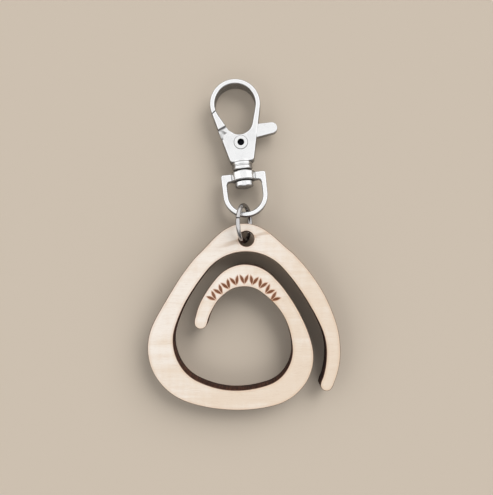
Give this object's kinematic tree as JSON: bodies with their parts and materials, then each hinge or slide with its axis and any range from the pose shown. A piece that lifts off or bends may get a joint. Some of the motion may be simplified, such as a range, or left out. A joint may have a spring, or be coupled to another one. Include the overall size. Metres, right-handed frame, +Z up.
{
  "type": "stitch marker holder",
  "caption": "Flat wooden spiral that open stitch markers slide onto, hung by a jump ring from a swivel trigger clasp with a sprung gate.",
  "frame": {"origin": "on the table, in the middle of the footprint of the whole part lying down", "axes": "+Y from the wooden spiral towards the clasp's loop, +X to the right seen from above, +Z up from the table"},
  "size_m": [0.0528, 0.0916, 0.0105],
  "materials": {
    "maple": "sanded pale wood with cut edges burned dark brown",
    "nickel": "bright nickel plate",
    "dark_steel": "dark end of a steel pin",
    "spring_steel": "drawn spring wire"
  },
  "bodies": {
    "wood": {"wood_spiral": "maple"},
    "ring": {"jump_ring": "nickel"},
    "bail": {"swivel_bail": "nickel"},
    "hook": {"hook_body": "nickel", "swivel_rivet": "nickel", "pivot_pin": "dark_steel", "gate_spring": "spring_steel"},
    "lever": {"gate_lever": "nickel"}
  },
  "joints": [
    {"name": "ring_swing", "type": "hinge", "parent": "wood", "child": "ring", "pos_m": [0.00005, 0.00561, 0.00527], "axis": [0.9455, 0, 0.3256], "range_deg": [-20, 85]},
    {"name": "bail_swing", "type": "hinge", "parent": "ring", "child": "bail", "pos_m": [0.00005, 0.01051, 0.00527], "axis": [0, 0, 1], "range_deg": [-35, 35]},
    {"name": "hook_swivel", "type": "hinge", "parent": "bail", "child": "hook", "pos_m": [-0.00021, 0.01884, 0.00344], "axis": [-0.1148, 0.9922, -0.0488], "continuous": true},
    {"name": "gate", "type": "hinge", "parent": "hook", "child": "lever", "pos_m": [-0.00087, 0.02786, 0.003], "axis": [0.0056, -0.0485, -0.9988], "range_deg": [0, 28], "stiffness_Nm_per_rad": 0.02, "springref_deg": -17.19, "deforming": ["gate_spring"]}
  ]
}
